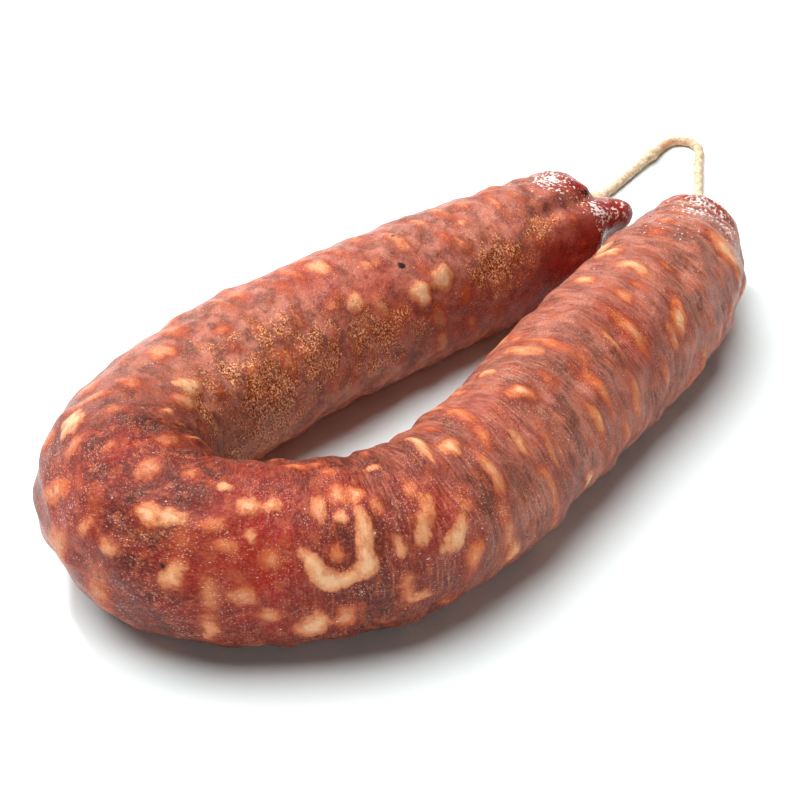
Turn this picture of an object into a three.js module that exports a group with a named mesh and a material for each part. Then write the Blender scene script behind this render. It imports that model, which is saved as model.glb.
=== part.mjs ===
import * as THREE from 'three';
import { mergeVertices } from 'three/addons/utils/BufferGeometryUtils.js';

// A dry-cured sausage bent into a horseshoe. Each end is gathered into a thin neck and tied off,
// and one twine runs from tie to tie. Millimetres, +Z up. The sausage lies on z = 0, its bend
// at -Y and its tied ends at +Y. The far leg is the one at -X, the near leg the one at +X.

// Driving dimensions of the casing
const REST_FLAT = 0.7; // depth by which its own weight presses the underside flat
const STATIONS = [ // the middle line from the far end round the bend to the near end: x, y, radius
  [-12.3, 63.7, 15.7],
  [-20.9, 28.0, 17.2],
  [-31.2, -24.5, 18.1],
  [-32.2, -61.8, 18.0],
  [-18.4, -80.1, 19.1],
  [4.6, -80.0, 18.9],
  [27.9, -55.8, 17.8],
  [32.8, -26.9, 17.7],
  [29.5, 13.9, 18.3],
  [26.1, 56.3, 17.9],
  [16.2, 85.4, 12.6],
];

// Fineness of the solids
const ARC_DIVISIONS = 2000;
const SEAM_TOLERANCE = 1e-6;
const MERGE_DISTANCE = 1e-4;
const CASING_SIDES = 30;
const RING_STEP = 3.35;
const DOME_RINGS = 14;
const TWINE_SIDES = 8;
const TWINE_STEPS = 48;
const TIE_TURNS = 20;

// Tied ends: where each neck points, and the dent that it stands in
const FAR_NECK = new THREE.Vector3(0.11, 0.98, 0.1).normalize();
const NEAR_NECK = new THREE.Vector3(-0.36, 0.93, 0.04).normalize();
const NECK_RADIUS = 1.1;
const NECK_FLARE = 1.7;
const NECK_BEYOND = 2.2; // how far a neck runs on past the middle of its tie
const NECK_ROOT = 0.2; // polar angle at which the round end passes into the neck
const NECK_MARGIN = 0.001; // keeps the root's own ring with the round end
const TIP_EDGES = [0.3, 0.7]; // depths below the tip between which the flare is full width
const DENT_DEPTH = 1.8;
const DENT_WIDTH = 0.42;
const PLEATS = 11;
const PLEAT_DEPTH = 0.55;
const PLEAT_WIDTH = 0.75;
const PLEAT_POLAR = 0.55; // polar angle at which the pleats are deepest
const PLEAT_START = 0.3; // and the angle over which they set in, beyond the neck's root

// The far end has two lobes beside its tie, with a crease between them that runs back along the
// leg, and is hollow below the lower one. Widths are half widths, as angles seen from the end's centre.
const LOWER_LOBE = { heading: new THREE.Vector3(0.6, 0.79, 0.18).normalize(), height: 7.4, width: 0.35 };
const UPPER_LOBE = { heading: new THREE.Vector3(-0.2, 0.86, 0.46).normalize(), height: 2.0, width: 0.34 };
const HOLLOW = { heading: new THREE.Vector3(0.88, 0.43, -0.2).normalize(), height: -5.6, width: 0.38 };
const FORMS_CLEAR = 0.4; // polar angle from the neck's root over which they set in, clear of the tie
const FORMS_REACH = 30; // distance back along the leg over which they fade out
const LOBE_SMOOTH = 0.8; // share by which the lower lobe is smoother than the pleats round the tie
const LOBE_SMOOTH_REACH = 1.3; // and the reach of that, in widths of the lobe
const CREASE_TURN = 120; // degrees round the leg, from its outer side over the top
const CREASE_DEPTH = 1.8;
const CREASE_WIDTH = 2.4;
const CREASE_REACH = 22;

// Relief of the casing: slow unevenness, lumps of fat, and rolls of skin round the near leg
const WAVE_HEIGHT = 0.32;
const SLOW_WAVE = 11;
const QUICK_WAVE = 5.3;
const ROUND_WAVE = 17;
const QUICK_SHARE = 0.6; // height of the quick wave over that of the slow one
const QUICK_START = 0.7;
const SLOW_WINDING = 1.3; // how far the slow wave shifts from side to side round the leg
const LUMP_COUNT = 150;
const LUMP_HEIGHT = 0.55;
const LUMP_LENGTHS = [3.4, 6.2];
const LUMP_WIDTH_SHARES = [0.55, 0.9]; // width over length
const LUMP_HEIGHT_SHARES = [0.4, 1];
const LUMP_MIX = { length: 0.37, width: 0.71, height: 0.53 }; // steps that vary one lump from the next
const ROLL_HEIGHT = 0.3;
const ROLL_PITCH = 8.6;
const ROLLS_FROM = 0.45; // share of the middle line's length where the rolls set in
const ROLLS_FADE = 0.2;
const ROLL_LEAN = { amount: 0.9, length: 23 }; // how the rolls lean and wander, as angles and lengths
const ROLL_DRIFT = { amount: 1.4, length: 13 };
const ROLL_SWING = { least: 0.3, most: 1, length: 19 }; // and how their height comes and goes

// Twine
const TWINE_RADIUS = 1.3;
const TIE_GAP = 0.3;
const TIE_RADIUS = NECK_RADIUS + TIE_GAP + TWINE_RADIUS;
const KNOT_SWELL = 1.5; // how many times thicker the tie is at its knot
const KNOT_SPREAD = 0.75; // half width of the knot, as an angle round the tie
const TIE_REACH = 2.7; // middle of a tie, beyond the round end's own radius
const FAR_KNOT_TURN = -2.3; // where round the neck each knot sits
const NEAR_KNOT_TURN = -2.2;
const ROUTE = [ // the twine's middle line: down from the far tie, along the table, up to the near tie
  [-13.7, 83.7, 12.9],
  [-16.0, 86.7, 8.2],
  [-17.9, 90.5, 4.3],
  [-20.0, 94.7, 2.0],
  [-22.0, 98.7, 1.4],
  [-23.5, 103.0, 1.4],
  [-24.2, 107.9, 1.4],
  [-24.3, 113.3, 1.4],
  [-24.6, 118.9, 1.4],
  [-24.9, 124.7, 1.4],
  [-25.1, 130.5, 1.4],
  [-25.3, 136.1, 1.4],
  [-25.4, 141.3, 1.4],
  [-24.3, 146.0, 1.4],
  [-21.6, 148.0, 1.4],
  [-18.4, 146.4, 1.4],
  [-15.5, 143.0, 1.4],
  [-12.4, 138.4, 1.4],
  [-9.2, 133.2, 1.4],
  [-5.8, 127.5, 1.4],
  [-2.3, 121.9, 1.4],
  [1.1, 116.5, 1.4],
  [3.9, 111.5, 1.5],
  [6.0, 106.9, 2.6],
  [7.1, 103.1, 4.6],
  [8.2, 100.3, 7.6],
];

// Colours of the finishes
const CASING_FINISH = { color: 0x9c4a3c, roughness: 0.5, metalness: 0.0 };
const TWINE_FINISH = { color: 0xd9c3a0, roughness: 0.9, metalness: 0.0 };

const UP = new THREE.Vector3(0, 0, 1);
const GOLDEN_STEP = 0.6180339887; // two irrational steps, which spread points evenly
const PLASTIC_STEP = 0.7548776662;

const middle = new THREE.CatmullRomCurve3(
  STATIONS.map(([x, y, radius]) => new THREE.Vector3(x, y, radius - REST_FLAT)),
  false,
  'catmullrom',
);
const thickness = new THREE.CatmullRomCurve3(
  STATIONS.map(([, , radius]) => new THREE.Vector3(radius, 0, 0)),
  false,
  'catmullrom',
);
middle.arcLengthDivisions = ARC_DIVISIONS;
const LENGTH = middle.getLength();
const FAR_RADIUS = STATIONS[0][2];
const NEAR_RADIUS = STATIONS[STATIONS.length - 1][2];
const FAR_CENTRE = middle.getPoint(0);
const NEAR_CENTRE = middle.getPoint(1);

function bell(distance, width) {
  return Math.exp(-((distance / width) ** 2));
}

function smoothStep(value) {
  const t = Math.min(Math.max(value, 0), 1);
  return t * t * (3 - 2 * t);
}

function fraction(value) {
  return value - Math.floor(value);
}

// Radius of the plain tube at a distance along the middle line
function radiusAt(along) {
  const t = middle.getUtoTmapping(along / LENGTH);
  return thickness.getPoint(t).x;
}

// The lumps of fat under the skin, spread evenly over the tube
const lumps = Array.from({ length: LUMP_COUNT }, (_, i) => {
  const size = THREE.MathUtils.lerp(...LUMP_LENGTHS, fraction(i * LUMP_MIX.length));
  return {
    along: LENGTH * fraction((i + 0.5) * GOLDEN_STEP),
    turn: 2 * Math.PI * fraction((i + 0.5) * PLASTIC_STEP),
    halfLength: size,
    halfWidth: size * THREE.MathUtils.lerp(...LUMP_WIDTH_SHARES, fraction(i * LUMP_MIX.width)),
    height: LUMP_HEIGHT * THREE.MathUtils.lerp(...LUMP_HEIGHT_SHARES, fraction(i * LUMP_MIX.height)),
  };
});

function lumpRelief(along, turn, radius) {
  let height = 0;
  for (const lump of lumps) {
    const lengthwise = along - lump.along;
    if (Math.abs(lengthwise) > 2 * lump.halfLength) {
      continue;
    }
    const angle = Math.atan2(Math.sin(turn - lump.turn), Math.cos(turn - lump.turn));
    const across = angle * radius;
    const spread = bell(lengthwise, lump.halfLength) * bell(across, lump.halfWidth);
    height = Math.max(height, lump.height * spread);
  }
  return height;
}

function waveRelief(along, turn) {
  const slow = Math.sin(along / SLOW_WAVE + SLOW_WINDING * Math.sin(turn));
  const quick = Math.sin(along / QUICK_WAVE + 2 * turn + QUICK_START);
  const round = Math.sin(3 * turn + along / ROUND_WAVE);
  return (WAVE_HEIGHT * (slow + QUICK_SHARE * quick + round)) / 2;
}

// The skin of the near leg is drawn into soft rolls that run round it
function rollRelief(along, turn) {
  const share = smoothStep((along / LENGTH - ROLLS_FROM) / ROLLS_FADE);
  const lean = ROLL_LEAN.amount * Math.sin(2 * turn + along / ROLL_LEAN.length);
  const drift = ROLL_DRIFT.amount * Math.sin(along / ROLL_DRIFT.length);
  const coming = (1 + Math.sin(along / ROLL_SWING.length + 2 * turn)) / 2;
  const swing = THREE.MathUtils.lerp(ROLL_SWING.least, ROLL_SWING.most, coming);
  return ROLL_HEIGHT * share * swing * Math.sin((2 * Math.PI * along) / ROLL_PITCH + lean + drift);
}

// The crease between the far end's lobes, at a distance back along the leg
function creaseRelief(along, turn, radius) {
  const apart = turn - THREE.MathUtils.degToRad(CREASE_TURN);
  const across = Math.atan2(Math.sin(apart), Math.cos(apart)) * radius;
  return -CREASE_DEPTH * bell(across, CREASE_WIDTH) * smoothStep(1 - along / CREASE_REACH);
}

// Rings of the straight casing, from the tip of the far neck to the tip of the near one. Each has
// its radius and its place along the axis, where 0 and LENGTH are the centres of the round ends.
function endRings(radius) {
  const tieAt = radius + TIE_REACH;
  const tip = tieAt + NECK_BEYOND;
  const rings = [
    [0, tip],
    [NECK_FLARE, tip - TIP_EDGES[0]],
    [NECK_FLARE, tip - TIP_EDGES[1]],
    [NECK_RADIUS, tieAt + TWINE_RADIUS / 2],
    [NECK_RADIUS, tieAt - TWINE_RADIUS],
  ];
  for (let i = 0; i < DOME_RINGS; i += 1) {
    const polar = THREE.MathUtils.lerp(NECK_ROOT, Math.PI / 2, i / DOME_RINGS);
    rings.push([radius * Math.sin(polar), radius * Math.cos(polar)]);
  }
  return rings;
}

function straightProfile() {
  const tubeRings = Math.round(LENGTH / RING_STEP);
  const profile = [];
  for (const [radius, beyond] of endRings(FAR_RADIUS)) {
    profile.push(new THREE.Vector2(radius, -beyond));
  }
  for (let i = 0; i <= tubeRings; i += 1) {
    const along = (LENGTH * i) / tubeRings;
    profile.push(new THREE.Vector2(radiusAt(along), along));
  }
  for (const [radius, beyond] of endRings(NEAR_RADIUS).reverse()) {
    profile.push(new THREE.Vector2(radius, LENGTH + beyond));
  }
  return profile;
}

// A frame that follows the middle line: forward along it, side level, and rise across both
function frameAt(along) {
  const share = THREE.MathUtils.clamp(along / LENGTH, 0, 1);
  const centre = middle.getPointAt(share);
  const forward = middle.getTangentAt(share);
  const side = new THREE.Vector3().crossVectors(forward, UP).normalize();
  const rise = new THREE.Vector3().crossVectors(side, forward);
  return { centre, forward, side, rise };
}

// The lobes and the hollow of the far end, by direction from the centre of that end
function farForms(direction) {
  let relief = 0;
  for (const { heading, height, width } of [LOWER_LOBE, UPPER_LOBE, HOLLOW]) {
    relief += height * bell(direction.angleTo(heading), width);
  }
  return relief;
}

// A point of the tube between the two round ends
function tubePoint(point) {
  const along = point.y;
  const plainRadius = Math.hypot(point.x, point.z);
  const turn = Math.atan2(point.z, point.x);
  const bumps = lumpRelief(along, turn, plainRadius) + waveRelief(along, turn) + rollRelief(along, turn);
  const { centre, side, rise } = frameAt(along);
  const outward = side.multiplyScalar(Math.cos(turn)).addScaledVector(rise, Math.sin(turn));
  const fromEnd = centre.clone().addScaledVector(outward, plainRadius).sub(FAR_CENTRE);
  const forms = farForms(fromEnd) * smoothStep(1 - along / FORMS_REACH);
  const relief = bumps + forms + creaseRelief(along, turn, plainRadius);
  return centre.addScaledVector(outward, plainRadius + relief);
}

// A point of a tied end. Its straight shape is a ball that carries the neck, and it leans over
// from the middle line's own direction to where the neck points.
function endPoint(point, end) {
  const beyond = end.near ? point.y - LENGTH : -point.y;
  const across = Math.hypot(point.x, point.z);
  const turn = Math.atan2(point.z, point.x);
  const polar = Math.atan2(across, beyond);
  const { centre, forward, side, rise } = frameAt(end.near ? LENGTH : 0);
  const outward = side.multiplyScalar(Math.cos(turn)).addScaledVector(rise, Math.sin(turn));
  const axis = end.near ? forward : forward.negate();
  const direction = outward.multiplyScalar(across).addScaledVector(axis, beyond).normalize();
  const lean = new THREE.Quaternion().setFromUnitVectors(axis, end.neck);
  const share = smoothStep(1 - polar / (Math.PI / 2));
  direction.applyQuaternion(new THREE.Quaternion().slerp(lean, share));
  const plain = Math.hypot(across, beyond);
  const onNeck = polar < NECK_ROOT - NECK_MARGIN;
  return centre.addScaledVector(direction, onNeck ? plain : plain + endRelief(direction, turn, polar, end));
}

function endRelief(direction, turn, polar, end) {
  const seam = end.near ? LENGTH : 0;
  const fade = smoothStep(polar / (Math.PI / 2));
  const plain = (waveRelief(seam, turn) + rollRelief(seam, turn)) * fade;
  const lump = lumpRelief(seam, turn, end.radius) * fade * fade;
  const dent = -DENT_DEPTH * bell(polar, DENT_WIDTH);
  const setIn = smoothStep((polar - NECK_ROOT) / PLEAT_START);
  const pleatShare = bell(polar - PLEAT_POLAR, PLEAT_WIDTH) * setIn * (1 - fade);
  const pleat = -PLEAT_DEPTH * pleatShare * (1 + Math.cos(PLEATS * turn + 2 * Math.sin(2 * turn)));
  if (end.near) {
    return plain + lump + dent + pleat;
  }
  const lobe = bell(direction.angleTo(LOWER_LOBE.heading), LOBE_SMOOTH_REACH * LOWER_LOBE.width);
  const forms = farForms(direction) + creaseRelief(0, turn, FAR_RADIUS * Math.sin(polar));
  const clear = smoothStep((polar - NECK_ROOT) / FORMS_CLEAR);
  return plain + lump + dent + pleat * (1 - LOBE_SMOOTH * lobe) + forms * clear;
}

// Only positions are kept, so that the vertices along the seam and at the poles become shared ones
function closed(geometry) {
  geometry.deleteAttribute('normal');
  geometry.deleteAttribute('uv');
  const merged = mergeVertices(geometry, MERGE_DISTANCE);
  merged.computeVertexNormals();
  return merged;
}

const FAR_END = { near: false, neck: FAR_NECK, radius: FAR_RADIUS };
const NEAR_END = { near: true, neck: NEAR_NECK, radius: NEAR_RADIUS };

function sausageGeometry() {
  const geometry = new THREE.LatheGeometry(straightProfile(), CASING_SIDES);
  const positions = geometry.attributes.position;
  const point = new THREE.Vector3();
  for (let i = 0; i < positions.count; i += 1) {
    point.fromBufferAttribute(positions, i);
    let bent;
    if (point.y < -SEAM_TOLERANCE) {
      bent = endPoint(point, FAR_END);
    } else if (point.y > LENGTH + SEAM_TOLERANCE) {
      bent = endPoint(point, NEAR_END);
    } else {
      bent = tubePoint(point);
    }
    positions.setXYZ(i, bent.x, bent.y, Math.max(bent.z, 0));
  }
  return closed(geometry);
}

// One turn of twine round a neck, thicker where it is knotted
function tieGeometry(knotTurn) {
  const section = [];
  for (let i = 0; i <= TWINE_SIDES; i += 1) {
    const angle = (2 * Math.PI * i) / TWINE_SIDES;
    section.push(new THREE.Vector2(
      TIE_RADIUS + TWINE_RADIUS * Math.cos(angle),
      TWINE_RADIUS * Math.sin(angle),
    ));
  }
  const geometry = new THREE.LatheGeometry(section, TIE_TURNS);
  const positions = geometry.attributes.position;
  const point = new THREE.Vector3();
  for (let i = 0; i < positions.count; i += 1) {
    point.fromBufferAttribute(positions, i);
    const turn = Math.atan2(point.z, point.x);
    const apart = Math.atan2(Math.sin(turn - knotTurn), Math.cos(turn - knotTurn));
    const swell = 1 + (KNOT_SWELL - 1) * bell(apart, KNOT_SPREAD);
    const outward = Math.hypot(point.x, point.z);
    const inner = TIE_RADIUS - TWINE_RADIUS;
    const swollen = inner + (outward - inner) * swell;
    positions.setXYZ(i, (point.x * swollen) / outward, point.y * swell, (point.z * swollen) / outward);
  }
  return closed(geometry);
}

function tie(name, centre, neck, distance, knotTurn, material) {
  const mesh = new THREE.Mesh(tieGeometry(knotTurn), material);
  mesh.name = name;
  mesh.position.copy(centre).addScaledVector(neck, distance);
  mesh.quaternion.setFromUnitVectors(new THREE.Vector3(0, 1, 0), neck);
  return mesh;
}

function twineGeometry() {
  const section = new THREE.Shape();
  for (let i = 0; i < TWINE_SIDES; i += 1) {
    const angle = (2 * Math.PI * i) / TWINE_SIDES;
    const x = TWINE_RADIUS * Math.cos(angle);
    const y = TWINE_RADIUS * Math.sin(angle);
    if (i === 0) {
      section.moveTo(x, y);
    } else {
      section.lineTo(x, y);
    }
  }
  section.closePath();
  const route = new THREE.CatmullRomCurve3(
    ROUTE.map((place) => new THREE.Vector3(...place)),
    false,
    'catmullrom',
  );
  return closed(new THREE.ExtrudeGeometry(section, { steps: TWINE_STEPS, extrudePath: route }));
}

const casing = new THREE.MeshStandardMaterial(CASING_FINISH);
const twine = new THREE.MeshStandardMaterial(TWINE_FINISH);

const sausage = new THREE.Mesh(sausageGeometry(), casing);
sausage.name = 'sausage';

const twineLoop = new THREE.Mesh(twineGeometry(), twine);
twineLoop.name = 'twine_loop';

const object = new THREE.Group();
object.add(sausage);
object.add(twineLoop);
object.add(tie('tie_far', FAR_CENTRE, FAR_NECK, FAR_RADIUS + TIE_REACH, FAR_KNOT_TURN, twine));
object.add(tie('tie_near', NEAR_CENTRE, NEAR_NECK, NEAR_RADIUS + TIE_REACH, NEAR_KNOT_TURN, twine));

export default object;
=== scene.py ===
import bmesh
import bpy
import numpy as np
from mathutils import Matrix, Vector


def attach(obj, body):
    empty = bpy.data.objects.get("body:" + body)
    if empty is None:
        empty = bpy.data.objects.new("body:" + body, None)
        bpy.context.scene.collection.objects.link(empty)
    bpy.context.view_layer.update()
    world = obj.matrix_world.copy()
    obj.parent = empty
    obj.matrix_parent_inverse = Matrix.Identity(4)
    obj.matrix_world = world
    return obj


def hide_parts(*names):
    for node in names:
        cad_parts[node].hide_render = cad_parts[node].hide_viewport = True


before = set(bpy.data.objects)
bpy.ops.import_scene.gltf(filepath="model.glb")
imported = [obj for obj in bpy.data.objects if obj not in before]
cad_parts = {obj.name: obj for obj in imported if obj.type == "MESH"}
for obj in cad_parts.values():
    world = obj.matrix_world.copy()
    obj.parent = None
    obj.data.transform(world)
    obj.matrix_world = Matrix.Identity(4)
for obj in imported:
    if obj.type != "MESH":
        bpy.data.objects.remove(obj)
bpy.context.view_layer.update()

# A dry-cured sausage bent into a horseshoe and tied at both ends with one loose twine. Lengths are
# in millimetres until a mesh is finished, and MM turns them into metres. The skin is made straight
# along +Y, where its patterns are laid out too, and is then bent along its middle line.
MM = 0.001

# Camera and picture
PICTURE = 800
CAMERA_PLACE = (222.1, -297.8, 286.4)
CAMERA_AZIMUTH = 38.0
CAMERA_ELEVATION = 37.0
CAMERA_FOCUS = 2000.0 # focal length in pixels of the picture
SENSOR = 36.0

# Driving dimensions of the casing, the same as the part's own
REST_FLAT = 0.7
STATIONS = [ # the middle line from the far end round the bend to the near end: x, y, radius
    (-12.3, 63.7, 15.7),
    (-20.9, 28.0, 17.2),
    (-31.2, -24.5, 18.1),
    (-32.2, -61.8, 18.0),
    (-18.4, -80.1, 19.1),
    (4.6, -80.0, 18.9),
    (27.9, -55.8, 17.8),
    (32.8, -26.9, 17.7),
    (29.5, 13.9, 18.3),
    (26.1, 56.3, 17.9),
    (16.2, 85.4, 12.6),
]
FAR_NECK = (0.11, 0.98, 0.1)
NEAR_NECK = (-0.36, 0.93, 0.04)
NECK_RADIUS = 1.1
NECK_FLARE = 1.7
NECK_BEYOND = 2.2
NECK_ROOT = 0.2
NECK_MARGIN = 0.001 # keeps the root's own ring with the round end
NECK_TIP = [ # the tip of the neck: share of the flare, depth below the tip
    (0.0, 0.0),
    (0.6, 0.05),
    (1.0, 0.3),
    (1.0, 0.7),
]
DENT_DEPTH = 1.8
DENT_WIDTH = 0.42
PLEATS = 11
PLEAT_DEPTH = 0.55
PLEAT_WIDTH = 0.75
PLEAT_POLAR = 0.55
PLEAT_START = 0.3
LOWER_LOBE = (0.60, 0.79, 0.18)
LOWER_LOBE_WIDTH = 0.35
FAR_FORMS = [ # bulges and hollows of the far end: direction, height, half width as an angle
    (LOWER_LOBE, 7.4, LOWER_LOBE_WIDTH),
    ((-0.20, 0.86, 0.46), 2.0, 0.34),
    ((0.88, 0.43, -0.20), -5.6, 0.38),
]
FORMS_REACH = 30
LOBE_SMOOTH = 0.8
LOBE_SMOOTH_REACH = 1.3 # and the reach of that, in widths of the lobe
FORMS_CLEAR = 0.4
CREASE_TURN = 120
CREASE_DEPTH = 1.8
CREASE_WIDTH = 2.4
CREASE_REACH = 22
WAVE_HEIGHT = 0.32
SLOW_WAVE = 11
QUICK_WAVE = 5.3
ROUND_WAVE = 17
QUICK_SHARE = 0.6 # height of the quick wave over that of the slow one
QUICK_START = 0.7
SLOW_WINDING = 1.3 # how far the slow wave shifts from side to side round the leg
ROLL_HEIGHT = 0.3
ROLL_PITCH = 8.6
ROLLS_FROM = 0.45
ROLLS_FADE = 0.2
ROLL_LEAN = 0.9 # how the rolls lean and wander, as angles
ROLL_LEAN_LENGTH = 23
ROLL_DRIFT = 1.4
ROLL_DRIFT_LENGTH = 13
ROLL_SWING = 0.35 # how much their height comes and goes
ROLL_SWING_LENGTH = 19

# Twine
TWINE_RADIUS = 1.3
TIE_REACH = 2.7
ROUTE = [ # the twine's middle line: down from the far tie, along the table, up to the near tie
    (-13.7, 83.7, 12.9),
    (-16.0, 86.7, 8.2),
    (-17.9, 90.5, 4.3),
    (-20.0, 94.7, 2.0),
    (-22.0, 98.7, 1.4),
    (-23.5, 103.0, 1.4),
    (-24.2, 107.9, 1.4),
    (-24.3, 113.3, 1.4),
    (-24.6, 118.9, 1.4),
    (-24.9, 124.7, 1.5),
    (-25.1, 130.5, 1.85),
    (-25.3, 136.1, 1.85),
    (-25.6, 140.4, 1.5),
    (-25.3, 143.9, 1.4),
    (-23.4, 146.6, 1.4),
    (-20.2, 147.5, 1.4),
    (-17.1, 146.1, 1.4),
    (-14.7, 142.6, 1.4),
    (-12.4, 138.4, 1.4),
    (-9.2, 133.2, 1.4),
    (-5.8, 127.5, 1.4),
    (-2.3, 121.9, 1.4),
    (1.1, 116.5, 1.4),
    (3.9, 111.5, 1.5),
    (6.0, 106.9, 2.6),
    (7.1, 103.1, 4.6),
    (8.2, 100.3, 7.6),
]
STRANDS = 3
STRAND_RADIUS = 0.54 # of one strand and of the circle it lies on, as shares of the twine's
STRAND_OFFSET = 0.46
STRAND_PITCH = 13.0 # length of one full twist of the strands
STRANDS_SHOW = 0.45 # how much of the strands' own roundness is left in the worn twine
SLUB_AT = 57.0 # distance along the twine of its thick spot
SLUB_SWELL = 0.45
SLUB_REACH = 2.2
END_SHARE = 0.35 # how thin the twine is at its very end, and how fast it grows from there
END_GROWTH = 1.2
FAR_KNOT_TURN = -2.3 # where round the neck each knot sits
NEAR_KNOT_TURN = -1.97
TIE_TURNS = 2.3
TIE_TWINE_RADIUS = 1.05 # the twine is pulled tight where it is tied
KNOT_SIZE = 0.85
KNOT_THINNER = 0.9
TURNS_SPREAD = 0.8 # how far the turns spread along the neck, in radii of their twine

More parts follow.
